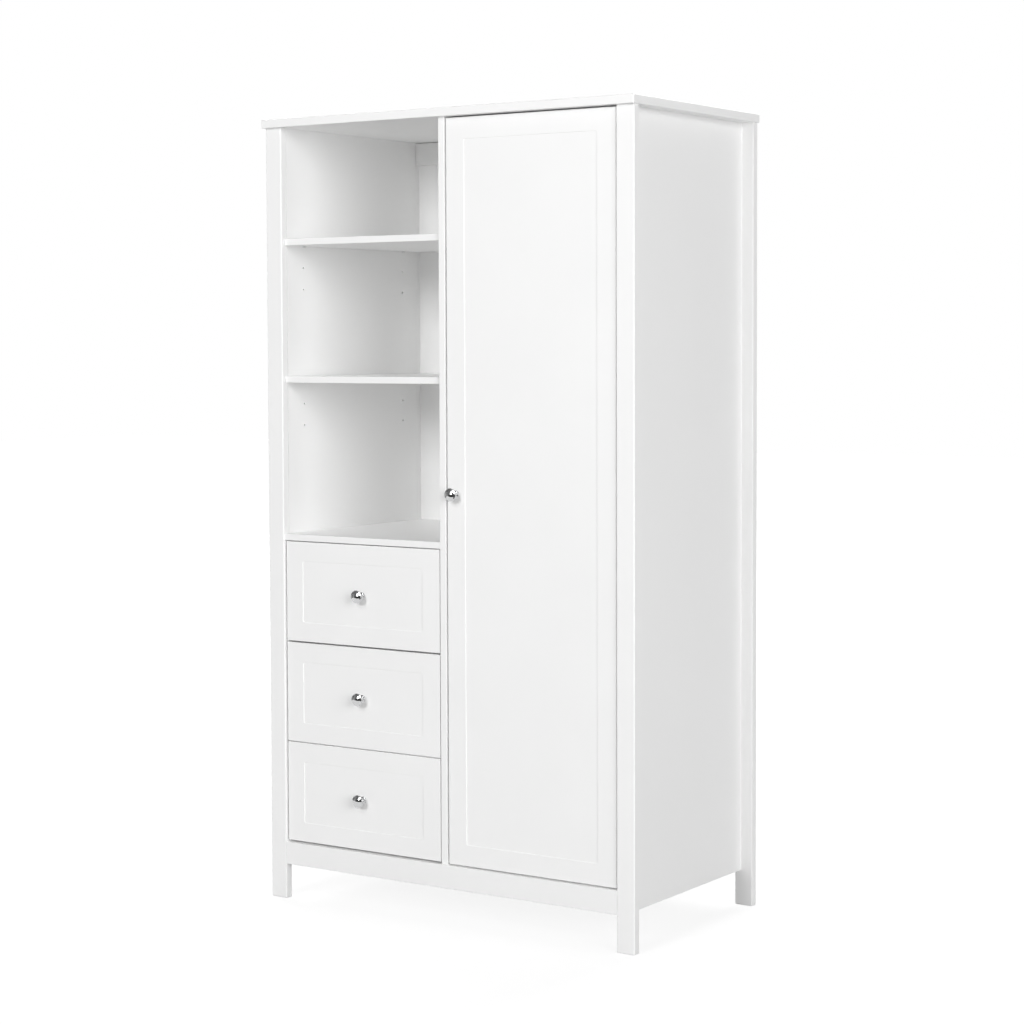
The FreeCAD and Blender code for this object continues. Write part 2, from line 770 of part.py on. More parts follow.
tube = rod("hanging_rail_tube", "+x", rail_start, "hang_rail_radius", rail_long)
core_start = shift(rail_start, "-x", "cut_over")
core = rod(
    "hanging_rail_core",
    "+x",
    core_start,
    "hang_rail_radius - hang_rail_wall",
    f"{rail_long} + 2 * cut_over",
)
node("hanging_rail", cut("hanging_rail", tube, [core]))


def slide_section(name, way, place, reach, high):
    """A sheet-metal channel: its web stands on the place and its two flanges reach along the way."""
    x, y, z = place
    corner_x = x if way == "+x" else f"{x} - {reach}"
    low = f"{z} - ({high}) / 2"
    outer = box(name + "_outer", (corner_x, y, low), (reach, SLIDE_LONG, high))
    hollow_x = f"{x} + slide_sheet" if way == "+x" else f"{x} - {reach} - cut_over"
    hollow = box(
        name + "_hollow",
        (hollow_x, f"{y} - cut_over", f"{low} + slide_sheet"),
        (
            f"{reach} - slide_sheet + cut_over",
            f"{SLIDE_LONG} + 2 * cut_over",
            f"{high} - 2 * slide_sheet",
        ),
    )
    return cut(name, outer, [hollow])


# Drawers, counted from the top: box, front, knob and slides
channels = []
slide_screws = []
channel_node = node("slide_channels", group("slide_channels", channels))
for number in range(1, DRAWERS + 1):
    owner = f"drawer_{number}"
    fronts_below = [f"{DRAWER_HIGH} + {gap}" for gap in DRAWER_GAPS[number:]]
    front_low = f"({' + '.join(['floor_top', 'drawer_low_gap', *fronts_below])})"
    front_left = f"(-{INNER} + front_gap)"
    front = f"{owner}_front"
    routed_front(
        front,
        (front_left, FRONT_FACE, front_low),
        (FRONT_WIDE, "front_thick", DRAWER_HIGH),
        ("door_panel_margin", "drawer_panel_margin"),
    )
    knob_place = (
        f"{front_left} + {FRONT_WIDE} / 2",
        f"{FRONT_FACE} + panel_deep",
        f"{front_low} + {DRAWER_HIGH} / 2",
    )
    knob_with_screw(owner, front, knob_place, "(front_thick - panel_deep)")

    side_low = f"({front_low} + drawer_side_up)"
    box_left = f"(-{INNER} + slide_space)"
    box_right = f"(-{HALF_DIVIDER} - slide_space)"
    for side, side_x in (("left", box_left), ("right", f"{box_right} - drawer_side_thick")):
        side_size = ("drawer_side_thick", BOX_DEEP, "drawer_side_high")
        board(f"{owner}_side_{side}", (side_x, FRONT_BACK, side_low), side_size)
    inside_left = f"({box_left} + drawer_side_thick)"
    inside_wide = f"({box_right} - {box_left} - 2 * drawer_side_thick)"
    groove_low = f"({side_low} + drawer_bottom_up)"
    groove = box(
        f"{owner}_groove",
        (f"{inside_left} - groove_deep", f"{FRONT_BACK} - groove_deep", groove_low),
        (
            f"{inside_wide} + 2 * groove_deep",
            f"{BOX_DEEP} + groove_deep + cut_over",
            "drawer_bottom_thick + groove_clear",
        ),
    )
    for piece in ("front", "side_left", "side_right"):
        cuts[f"{owner}_{piece}"].append(groove)
    bottom_in = "(groove_deep - groove_clear)"
    board(
        f"{owner}_bottom",
        (f"{inside_left} - {bottom_in}", f"{FRONT_BACK} - {bottom_in}", groove_low),
        (
            f"{inside_wide} + 2 * {bottom_in}",
            f"{BOX_DEEP} + {bottom_in}",
            "drawer_bottom_thick",
        ),
    )
    bottom_stack = "(drawer_bottom_up + drawer_bottom_thick + groove_clear)"
    board(
        f"{owner}_back",
        (
            inside_left,
            f"{FRONT_BACK} + {BOX_DEEP} - drawer_side_thick",
            f"{side_low} + {bottom_stack}",
        ),
        (inside_wide, "drawer_side_thick", f"drawer_side_high - {bottom_stack}"),
    )

    slide_z = f"({side_low} + slide_up)"
    rail_high = "(slide_high - 2 * (slide_sheet + slide_clear))"
    rails = []
    for side, way, wall_x, box_x, wall in (
        ("left", "+x", f"(-{INNER})", box_left, "side_panel_left"),
        ("right", "-x", f"(-{HALF_DIVIDER})", box_right, "divider_panel"),
    ):
        channel_y = f"({FRONT_BACK} + slide_front_gap)"
        name = f"{owner}_channel_{side}"
        channels.append(slide_section(name, way, (wall_x, channel_y, slide_z), "channel_reach", "slide_high"))
        outward = {"+x": "-x", "-x": "+x"}[way]
        name = f"{owner}_rail_{side}"
        rails.append(slide_section(name, outward, (box_x, FRONT_BACK, slide_z), "rail_reach", rail_high))
        for screw_number, along_share in enumerate(SLIDE_SCREW_SHARES):
            screw_y = f"{channel_y} + {along_share} * {SLIDE_LONG}"
            screw_place = shift((wall_x, screw_y, slide_z), way, "slide_sheet")
            name = f"{owner}_slide_screw_{side}_{screw_number}"
            slide_screws.append(wood_screw(name, outward, screw_place, ["slide_channels", wall]))
    node(f"{owner}_slide_rails", group(f"{owner}_slide_rails", rails))
channel_node.Links = channels
node("slide_screws", group("slide_screws", slide_screws))

# Dowels between the boards: each is bored into a face and into the end that meets it
dowels = []


def dowel(name, way, joint, face_label, end_label):
    """A dowel through the joint, with the face on one side and the end along the way."""
    back = {"+": "-", "-": "+"}[way[0]] + way[1]
    start = shift(joint, back, "dowel_in_face")
    dowels.append(rod(name, way, start, "dowel_radius", "dowel_long"))
    bore = rod(
        name + "_bore",
        way,
        shift(start, back, "dowel_fit"),
        "dowel_radius + dowel_fit",
        "dowel_long + 2 * dowel_fit",
    )
    cuts[face_label].append(bore)
    cuts[end_label].append(bore)


for side, sign in (("left", "-"), ("right", "+")):
    panel = f"side_panel_{side}"
    mid_x = f"{sign}{SIDE_MID}"
    for number, high_share in enumerate(SIDE_DOWEL_SHARES):
        z = f"side_low + {high_share} * ({TOP_LOW} - side_low)"
        dowel(f"dowel_front_{side}_{number}", "+y", (mid_x, SIDE_FRONT, z), f"post_front_{side}", panel)
        rear_y = f"{POST_BACK} - post_thick"
        dowel(f"dowel_rear_{side}_{number}", "-y", (mid_x, rear_y, z), f"post_rear_{side}", panel)
    inward = {"-": "+x", "+": "-x"}[sign]
    wall_x = f"{sign}{INNER}"
    for number, deep_share in enumerate(DEPTH_DOWEL_SHARES):
        y = f"{SIDE_FRONT} + {deep_share} * {SIDE_DEEP}"
        dowel(f"dowel_top_{side}_{number}", "-z", (mid_x, y, TOP_LOW), "top_panel", panel)
        mid_floor = "floor_top - floor_thick / 2"
        dowel(f"dowel_floor_{side}_{number}", inward, (wall_x, y, mid_floor), panel, "bottom_panel")
    rail_y = f"{POST_FRONT} + rail_thick / 2"
    rail_z = "(side_low + floor_top) / 2"
    dowel(f"dowel_rail_{side}", inward, (wall_x, rail_y, rail_z), f"post_front_{side}", "front_bottom_rail")
for number, deep_share in enumerate(DEPTH_DOWEL_SHARES):
    y = f"{SIDE_FRONT} + {deep_share} * {SIDE_DEEP}"
    dowel(f"dowel_divider_{number}", "-z", ("0", y, TOP_LOW), "top_panel", "divider_panel")
    deck_mid = f"{DECK_LOW} + deck_thick / 2"
    dowel(f"dowel_deck_{number}", "+x", (f"-{INNER}", y, deck_mid), "side_panel_left", "deck_shelf")
node("dowels", group("dowels", dowels))

# Small nails that hold the back boards to the posts and the divider
nails = []
for side, sign in (("left", "-"), ("right", "+")):
    for holder, nail_x in (
        (f"post_rear_{side}", f"{INNER} + back_rebate_wide / 2"),
        ("divider_panel", f"{HALF_DIVIDER} / 2 + back_joint / 2"),
    ):
        for number, high_share in enumerate(NAIL_SHARES):
            z = f"floor_top + {high_share} * ({TOP_LOW} - floor_top)"
            place = (f"{sign}({nail_x})", f"{BACK_FACE} + back_thick", z)
            name = f"nail_{side}_{holder}_{number}"
            head = rod(name + "_head", "+y", place, "nail_head_radius", "nail_head_thick")
            shank = rod(name + "_shank", "-y", place, "nail_radius", "nail_long")
            nails.append(fuse(name, [head, shank]))
            bore_start = shift(place, "+y", "cut_over")
            bore_long = "nail_long + nail_fit + cut_over"
            bore = rod(name + "_bore", "-y", bore_start, "nail_radius + nail_fit", bore_long)
            cuts[holder].append(bore)
            cuts[f"back_panel_{side}"].append(bore)
node("back_panel_nails", group("back_panel_nails", nails))

# Bore and rebate the blanks, test everything, and write one file for each node
finished = {}
for label, blank in blanks.items():
    item = cut(label + "_bored", blank, cuts[label]) if cuts[label] else blank
    item.Label = label
    finished[label] = item
doc.recompute()

faults = [item.Name for item in doc.Objects if "Invalid" in item.State or "Error" in item.State]
for label, item in finished.items():
    if item.Shape.isNull() or not item.Shape.isValid() or not item.Shape.Solids:
        faults.append(label)
if faults:
    raise RuntimeError("failed pieces: " + ", ".join(faults))

os.makedirs("parts", exist_ok=True)
for label, item in finished.items():
    item.Shape.exportStep(f"parts/{label}.step")
    print(label, len(item.Shape.Solids), "solids", round(item.Shape.Volume), "mm3")
print(len(finished), "nodes")
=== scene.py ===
"""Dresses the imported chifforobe: paint, metal and board finishes, turned knobs, screws and a studio."""

import json
import logging
import math
from abc import ABC, abstractmethod
from dataclasses import dataclass
from enum import Enum

import bmesh
import bpy
from mathutils import Matrix, Quaternion, Vector


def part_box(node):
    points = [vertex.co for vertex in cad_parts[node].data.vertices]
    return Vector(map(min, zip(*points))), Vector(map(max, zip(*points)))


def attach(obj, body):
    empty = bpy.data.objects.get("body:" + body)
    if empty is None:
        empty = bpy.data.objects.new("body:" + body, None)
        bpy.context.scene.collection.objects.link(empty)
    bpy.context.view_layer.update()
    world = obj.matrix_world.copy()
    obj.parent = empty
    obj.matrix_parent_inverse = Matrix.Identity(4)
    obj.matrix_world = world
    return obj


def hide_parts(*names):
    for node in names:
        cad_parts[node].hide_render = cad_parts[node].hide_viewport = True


logging.basicConfig(level=logging.INFO, format="%(message)s")
LOG = logging.getLogger("chifforobe")

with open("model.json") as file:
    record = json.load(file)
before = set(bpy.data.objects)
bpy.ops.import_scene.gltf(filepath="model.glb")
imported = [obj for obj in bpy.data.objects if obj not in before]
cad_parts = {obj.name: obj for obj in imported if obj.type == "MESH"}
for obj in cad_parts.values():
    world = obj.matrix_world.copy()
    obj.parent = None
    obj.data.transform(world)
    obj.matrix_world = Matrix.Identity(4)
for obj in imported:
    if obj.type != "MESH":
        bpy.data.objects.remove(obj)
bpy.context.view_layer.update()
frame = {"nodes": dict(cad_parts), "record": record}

Colour = tuple[float, float, float]
Triple = tuple[float, float, float]
Profile = list[tuple[float, float]]

WHITE = (1.0, 1.0, 1.0, 1.0)
DRAWER_BODIES = ("drawer_1", "drawer_2", "drawer_3")


class Slot(Enum):
    """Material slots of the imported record, one for each finish."""

    WHITE_PAINT = "white_paint"
    BACK_BOARD = "back_board"
    DRAWER_BOARD = "drawer_board"
    KNOB_CHROME = "knob_chrome"
    RAIL_CHROME = "rail_chrome"
    SLIDE_STEEL = "slide_steel"
    HINGE_STEEL = "hinge_steel"
    PIN_STEEL = "pin_steel"
    SCREW_STEEL = "screw_steel"
    DOWEL_WOOD = "dowel_wood"


class NodeTree:
    """A small helper that adds and links the shader nodes of one material or world."""

    BAND_LOW: float = 0.3
    BAND_HIGH: float = 0.7

    def __init__(self, name: str) -> None:
        """Start an empty node material.

        Args:
            name: the material's name.
        """
        self.material = bpy.data.materials.new(name)
        self.material.use_nodes = True
        self.tree = self.material.node_tree
        self.tree.nodes.clear()
        self.output = self.add("ShaderNodeOutputMaterial")

    @classmethod
    def around_world(cls, world: bpy.types.World) -> "NodeTree":
        """Start an empty node tree for a world.

        Args:
            world: the world.

        Returns:
            The helper.
        """
        helper = cls.__new__(cls)
        helper.tree = world.node_tree
        helper.tree.nodes.clear()
        helper.output = helper.add("ShaderNodeOutputWorld")
        return helper

    def seen_directly(self) -> bpy.types.NodeSocket:
        """1 for what the camera, reflections and clear glass see, 0 for light that falls on surfaces.

        Returns:
            The value socket.
        """
        rays = self.add("ShaderNodeLightPath")
        found = rays.outputs["Is Camera Ray"]
        for other in ("Is Glossy Ray", "Is Transmission Ray"):
            either = self.add("ShaderNodeMath")
            either.operation = "MAXIMUM"
            self.link(found, either.inputs[0])
            self.link(rays.outputs[other], either.inputs[1])
            found = either.outputs["Value"]
        return found

    def add(self, kind: str, **inputs: object) -> bpy.types.Node:
        """Add a node and give its inputs values or links.

        Args:
            kind: Blender's name of the node type.
            inputs: values or output sockets by input name, with underscores for spaces.

        Returns:
            The new node.
        """
        node = self.tree.nodes.new(kind)
        for name, given in inputs.items():
            socket = node.inputs[name.replace("_", " ")]
            if isinstance(given, bpy.types.NodeSocket):
                self.link(given, socket)
            else:
                socket.default_value = given
        return node

    def link(self, source: bpy.types.NodeSocket, target: bpy.types.NodeSocket) -> None:
        """Join an output socket to an input socket."""
        self.tree.links.new(source, target)

    def place(self, stretch: Triple = (1.0, 1.0, 1.0)) -> bpy.types.NodeSocket:
        """Coordinates of the piece in metres, stretched along the axes.

        Args:
            stretch: factors along X, Y and Z.

        Returns:
            The vector socket.
        """
        coordinates = self.add("ShaderNodeTexCoord")
        mapping = self.add("ShaderNodeMapping", Vector=coordinates.outputs["Object"], Scale=stretch)
        return mapping.outputs["Vector"]

    def noise(self, where: bpy.types.NodeSocket, scale: float, detail: float) -> bpy.types.NodeSocket:
        """A noise pattern.

        Args:
            where: the coordinates.
            scale: features for each metre.
            detail: octaves of finer noise.

        Returns:
            The pattern's value socket, about 0 to 1.
        """
        pattern = self.add("ShaderNodeTexNoise", Vector=where, Scale=scale, Detail=detail)
        return pattern.outputs["Fac"]

    def ranged(self, value: bpy.types.NodeSocket, low: float, high: float) -> bpy.types.NodeSocket:
        """Map a pattern's middle band onto a range of values.

        Args:
            value: the pattern.
            low: the value where the pattern is dark.
            high: the value where the pattern is light.

        Returns:
            The mapped value socket.
        """
        band = {"From_Min": self.BAND_LOW, "From_Max": self.BAND_HIGH}
        node = self.add("ShaderNodeMapRange", Value=value, **band, To_Min=low, To_Max=high)
        return node.outputs["Result"]

    def tinted(self, value: bpy.types.NodeSocket, dark: Colour, light: Colour) -> bpy.types.NodeSocket:
        """Colour a pattern between two tones.

        Args:
            value: the pattern.
            dark: the tone at its dark end.
            light: the tone at its light end.

        Returns:
            The colour socket.
        """
        ramp = self.add("ShaderNodeValToRGB", Fac=value)
        stops = zip(ramp.color_ramp.elements, (self.BAND_LOW, self.BAND_HIGH), (dark, light))
        for stop, position, tone in stops:
            stop.position = position
            stop.color = (*tone, 1.0)
        return ramp.outputs["Color"]

    def bump(self, value: bpy.types.NodeSocket, strength: float, height: float) -> bpy.types.NodeSocket:
        """Turn a pattern into small relief.

        Args:
            value: the pattern.
            strength: how much of the relief shows.
            height: the relief's height in metres.

        Returns:
            The normal socket.
        """
        node = self.add("ShaderNodeBump", Height=value, Strength=strength, Distance=height)
        return node.outputs["Normal"]

    def surface(self, **inputs: object) -> None:
        """Add the main shader and join it to the output.

        Args:
            inputs: uniform values or output sockets by input name, with underscores for spaces.
        """
        shader = self.add("ShaderNodeBsdfPrincipled", **inputs)
        self.link(shader.outputs["BSDF"], self.output.inputs["Surface"])

    def split(self, light: bpy.types.NodeSocket, sight: bpy.types.NodeSocket) -> None:
        """Join two shaders to the output, one for light and one for what is seen directly.

        Args:
            light: the shader that lights other surfaces.
            sight: the shader that the camera, reflections and clear glass see.
        """
        mix = self.add("ShaderNodeMixShader", Fac=self.seen_directly())
        self.link(light, mix.inputs[1])
        self.link(sight, mix.inputs[2])
        self.link(mix.outputs["Shader"], self.output.inputs["Surface"])


def toned(colour: Colour, factor: float) -> Colour:
    """The colour made lighter or darker by a factor."""
    return tuple(min(1.0, channel * factor) for channel in colour)


def neutral(level: float) -> Colour:
    """The grey of one level."""
    return (level, level, level)


@dataclass(frozen=True)
class Finish(ABC):
    """The finish of one slot, in its main colour."""

    slot: Slot
    colour: Colour

    @abstractmethod
    def material(self) -> bpy.types.Material:
        """Build the finish's node material."""


@dataclass(frozen=True)
class PaintFinish(Finish):
    """Sprayed satin paint: an even tone with faint clouding and a fine orange-peel skin."""

    roughness: float = 0.36
    spread: float = 0.03
    cloud_scale: float = 5.0
    cloud_detail: float = 4.0
    clouding: float = 0.012
    peel_scale: float = 420.0
    peel_detail: float = 2.0
    peel_strength: float = 0.35
    peel_height: float = 0.00004
    gloss: float = 0.35

    def material(self) -> bpy.types.Material:
        """Build the paint's node material.

        Returns:
            The material.
        """
        nodes = NodeTree(self.slot.value)
        where = nodes.place()
        cloud = nodes.noise(where, self.cloud_scale, self.cloud_detail)
        skin = nodes.noise(where, self.peel_scale, self.peel_detail)
        dark = toned(self.colour, 1.0 - self.clouding)
        nodes.surface(
            Base_Color=nodes.tinted(cloud, dark, self.colour),
            Roughness=nodes.ranged(cloud, self.roughness - self.spread, self.roughness + self.spread),
            Normal=nodes.bump(skin, self.peel_strength, self.peel_height),
            Specular_IOR_Level=self.gloss,
        )
        return nodes.material


@dataclass(frozen=True)
class MetalFinish(Finish):
    """Plated or polished metal, with faint smears and fine marks along one axis."""

    roughness: float
    spread: float
    stretch: Triple = (1.0, 1.0, 1.0)
    smear_scale: float = 60.0
    smear_detail: float = 3.0
    smear_tone: float = 0.96
    mark_scale: float = 900.0
    mark_detail: float = 2.0
    mark_strength: float = 0.2
    mark_height: float = 0.00001

    def material(self) -> bpy.types.Material:
        """Build the metal's node material.

        Returns:
            The material.
        """
        nodes = NodeTree(self.slot.value)
        smear = nodes.noise(nodes.place(), self.smear_scale, self.smear_detail)
        marks = nodes.noise(nodes.place(self.stretch), self.mark_scale, self.mark_detail)
        dark = toned(self.colour, self.smear_tone)
        nodes.surface(
            Base_Color=nodes.tinted(smear, dark, self.colour),
            Roughness=nodes.ranged(smear, self.roughness - self.spread, self.roughness + self.spread),
            Normal=nodes.bump(marks, self.mark_strength, self.mark_height),
            Metallic=1.0,
        )
        return nodes.material


@dataclass(frozen=True)
class WoodFinish(Finish):
    """Bare beech, with fine grain drawn out along one axis."""

    stretch: Triple = (60.0, 60.0, 4.0)
    grain_scale: float = 8.0
    grain_detail: float = 6.0
    grain_tone: float = 0.8
    grain_strength: float = 0.3
    grain_height: float = 0.0001
    smoothest: float = 0.55
    roughest: float = 0.7

    def material(self) -> bpy.types.Material:
        """Build the wood's node material.

        Returns:
            The material.
        """
        nodes = NodeTree(self.slot.value)
        grain = nodes.noise(nodes.place(self.stretch), self.grain_scale, self.grain_detail)
        dark = toned(self.colour, self.grain_tone)
        nodes.surface(
            Base_Color=nodes.tinted(grain, dark, self.colour),
            Roughness=nodes.ranged(grain, self.smoothest, self.roughest),
            Normal=nodes.bump(grain, self.grain_strength, self.grain_height),
        )
        return nodes.material


FINISHES: tuple[Finish, ...] = (
    PaintFinish(Slot.WHITE_PAINT, (0.93, 0.93, 0.928)),
    # the back board is white-faced board, but its white is set a little lighter than the case paint:
    # painted light that brightens the shaded backs of the open bays
    PaintFinish(Slot.BACK_BOARD, (0.95, 0.95, 0.948), roughness=0.5),
    PaintFinish(Slot.DRAWER_BOARD, (0.86, 0.86, 0.85), roughness=0.45),
    PaintFinish(Slot.SLIDE_STEEL, (0.82, 0.82, 0.82), roughness=0.4),
    MetalFinish(Slot.KNOB_CHROME, (0.6, 0.605, 0.61), roughness=0.07, spread=0.02),
    MetalFinish(
        Slot.RAIL_CHROME, (0.62, 0.625, 0.63), roughness=0.1, spread=0.03, stretch=(0.05, 1.0, 1.0)
    ),
    MetalFinish(Slot.HINGE_STEEL, (0.6, 0.6, 0.6), roughness=0.24, spread=0.05),
    MetalFinish(Slot.PIN_STEEL, (0.8, 0.8, 0.8), roughness=0.36, spread=0.05),
    MetalFinish(Slot.SCREW_STEEL, (0.56, 0.56, 0.56), roughness=0.3, spread=0.06),
    WoodFinish(Slot.DOWEL_WOOD, (0.72, 0.55, 0.37)),
)


class Palette:
    """All the finishes as materials, found by slot."""

    def __init__(self) -> None:
        """Build one material for each finish."""
        self.materials = {finish.slot: finish.material() for finish in FINISHES}
        self.slots = {part["node"]: Slot(part["material_slot"]) for part in frame["record"]["subparts"]}

    def dress(self, piece: bpy.types.Object, slot: Slot) -> None:
        """Give a piece one finish all over.

        Args:
            piece: the mesh object.
            slot: the finish's slot.
        """
        piece.data.materials.clear()
        piece.data.materials.append(self.materials[slot])

    def dress_nodes(self, *names: str) -> None:
        """Give carried-over nodes the finish of their own slots.

        Args:
            names: the nodes.
        """
        for name in names:
            self.dress(frame["nodes"][name], self.slots[name])
            LOG.info("dressed %s with %s", name, self.slots[name].value)

    def hand_over(self, piece: bpy.types.Object, body: str, node: str) -> None:
        """Let a built piece stand for a node, with the node's finish and body.

        Args:
            piece: the piece, in place.
            body: the body that carries it.
            node: the node that it stands for.
        """
        slot = self.slots[node]
        self.dress(piece, slot)
        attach(piece, body)
        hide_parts(node)
        LOG.info("built %s for %s", piece.name, node)


class SubAssembly(ABC):
    """A part of the cabinet that dresses or builds its own pieces."""

    @abstractmethod
    def build(self, palette: Palette) -> None:
        """Dress or build the pieces with the palette's finishes."""


def linked(name: str, data: bpy.types.ID) -> bpy.types.Object:
    """Put a mesh, light or camera into the scene.

    Args:
        name: the new object's name.
        data: the mesh, light or camera.

    Returns:
        The object.
    """
    thing = bpy.data.objects.new(name, data)
    bpy.context.scene.collection.objects.link(thing)
    return thing


def shaded(mesh: bpy.types.Mesh, crease: float = 35.0) -> bpy.types.Mesh:
    """Shade a mesh smoothly between its sharp edges.

    Args:
        mesh: the mesh.
        crease: the turn between faces, in degrees, above which an edge is sharp.

    Returns:
        The same mesh.
    """
    mesh.shade_smooth()
    mesh.set_sharp_from_angle(angle=math.radians(crease))
    return mesh


def mesh_from(work: bmesh.types.BMesh, name: str) -> bpy.types.Mesh:
    """Turn a worked shape into a mesh, and let the work go.

    Args:
        work: the worked shape.
        name: the mesh's name.

    Returns:
        The mesh.
    """
    mesh = bpy.data.meshes.new(name)
    work.to_mesh(mesh)
    work.free()
    return mesh


def flat_sheet(name: str, wide: float, high: float, material: bpy.types.Material) -> bpy.types.Object:
    """Lay a flat rectangle on the XY plane, about its middle.

    Args:
        name: the object's name.
        wide: its size along X.
        high: its size along Y.
        material: its material.

    Returns:
        The object.
    """
    x, y = wide / 2.0, high / 2.0
    corners = [(-x, -y, 0.0), (x, -y, 0.0), (x, y, 0.0), (-x, y, 0.0)]
    mesh = bpy.data.meshes.new(name)
    mesh.from_pydata(corners, [], [(0, 1, 2, 3)])
    mesh.materials.append(material)
    return linked(name, mesh)


def turned_mesh(name: str, profile: Profile, steps: int) -> bpy.types.Mesh:
    """Turn a profile about the Z axis into a closed mesh.

    Args:
        name: the mesh's name.
        profile: radius and height of each ring, from one pole to the other.
        steps: corners in each ring.

    Returns:
        The mesh, shaded smoothly.
    """
    work = bmesh.new()
    turns = [2.0 * math.pi * step / steps for step in range(steps)]
    rings = []
    for radius, height in profile:
        spots = [(radius * math.cos(turn), radius * math.sin(turn), height) for turn in turns]
        rings.append([work.verts.new(spot) for spot in (spots if radius else spots[:1])])
    for lower, upper in zip(rings, rings[1:]):
        for step in range(steps):
            after = (step + 1) % steps
            corners = [lower[step % len(lower)], lower[after % len(lower)]]
            corners += [upper[after % len(upper)], upper[step % len(upper)]]
            work.faces.new(list(dict.fromkeys(corners)))
    bmesh.ops.recalc_face_normals(work, faces=work.faces)
    return shaded(mesh_from(work, name))


def eased(corners: list[Triple], steps: int) -> Profile:
    """Round the corners of a profile.

    Args:
        corners: radius, height and rounding length of each corner.
        steps: stretches along each rounded corner.

    Returns:
        The profile's points.
    """
    points: Profile = []
    for index, (radius, height, ease) in enumerate(corners):
        if not ease:
            points.append((radius, height))
            continue
        here = Vector((radius, height))
        before = here + (Vector(corners[index - 1][:2]) - here).normalized() * ease
        after = here + (Vector(corners[index + 1][:2]) - here).normalized() * ease
        for step in range(steps + 1):
            share = step / steps
            spot = before * (1.0 - share) ** 2 + here * 2.0 * share * (1.0 - share) + after * share**2
            points.append((spot.x, spot.y))
    return points


@dataclass
class Knob(SubAssembly):
    """A turned chrome knob: base flange, waisted neck, rimmed head and domed crown. Sizes in metres."""

    node: str
    body: str
    base_radius: float = 0.0085
    base_thick: float = 0.003
    base_ease: float = 0.001
    neck_radius: float = 0.0055
    neck_low: float = 0.0045
    neck_high: float = 0.0145
    neck_ease: float = 0.003
    rim_low: float = 0.019
    rim_high: float = 0.022
    rim_ease: float = 0.001
    ring_radius: float = 0.0118
    ring_out: float = 0.023
    ring_ease: float = 0.0004
    crown_radius: float = 0.0112
    crown_low: float = 0.0234
    turn_steps: int = 96
    ease_steps: int = 5
    crown_steps: int = 16

    def profile(self, head_radius: float, long: float) -> Profile:
        """The knob's half outline, from the base's middle to the crown's tip.

        Args:
            head_radius: radius of the head's rim.
            long: distance from the base to the tip.

        Returns:
            Radius and height of each ring.
        """
        corners = [
            (0.0, 0.0, 0.0),
            (self.base_radius, 0.0, self.ring_ease),
            (self.base_radius, self.base_thick, self.base_ease),
            (self.neck_radius, self.neck_low, self.base_ease),
            (self.neck_radius, self.neck_high, self.neck_ease),
            (head_radius, self.rim_low, self.rim_ease),
            (head_radius, self.rim_high, self.rim_ease),
            (self.ring_radius, self.ring_out, self.ring_ease),
            (self.crown_radius, self.crown_low, 0.0),
        ]
        points = eased(corners, self.ease_steps)
        rise = long - self.crown_low
        sphere = (self.crown_radius**2 + rise**2) / (2.0 * rise)
        sweep = math.asin(self.crown_radius / sphere)
        for step in range(1, self.crown_steps):
            angle = sweep * (1.0 - step / self.crown_steps)
            points.append((sphere * math.sin(angle), long - sphere + sphere * math.cos(angle)))
        points.append((0.0, long))
        return points

    def build(self, palette: Palette) -> None:
        """Turn the knob, stand it on its front and dress it.

        Args:
            palette: the finishes.
        """
        low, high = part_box(self.node)
        profile = self.profile((high.x - low.x) / 2.0, high.y - low.y)
        mesh = turned_mesh(f"{self.node}_turned", profile, self.turn_steps)
        base = Vector(((low.x + high.x) / 2.0, high.y, (low.z + high.z) / 2.0))
        mesh.transform(Matrix.Translation(base) @ Matrix.Rotation(math.radians(90.0), 4, "X"))
        palette.hand_over(linked(mesh.name, mesh), self.body, self.node)


@dataclass(frozen=True)
class ScrewPlace:
    """One screw found in a node: where its head sits, which way the head looks, and its sizes in metres."""

    seat: Vector
    out: Vector
    head_radius: float
    head_thick: float
    shank_radius: float
    shank_long: float


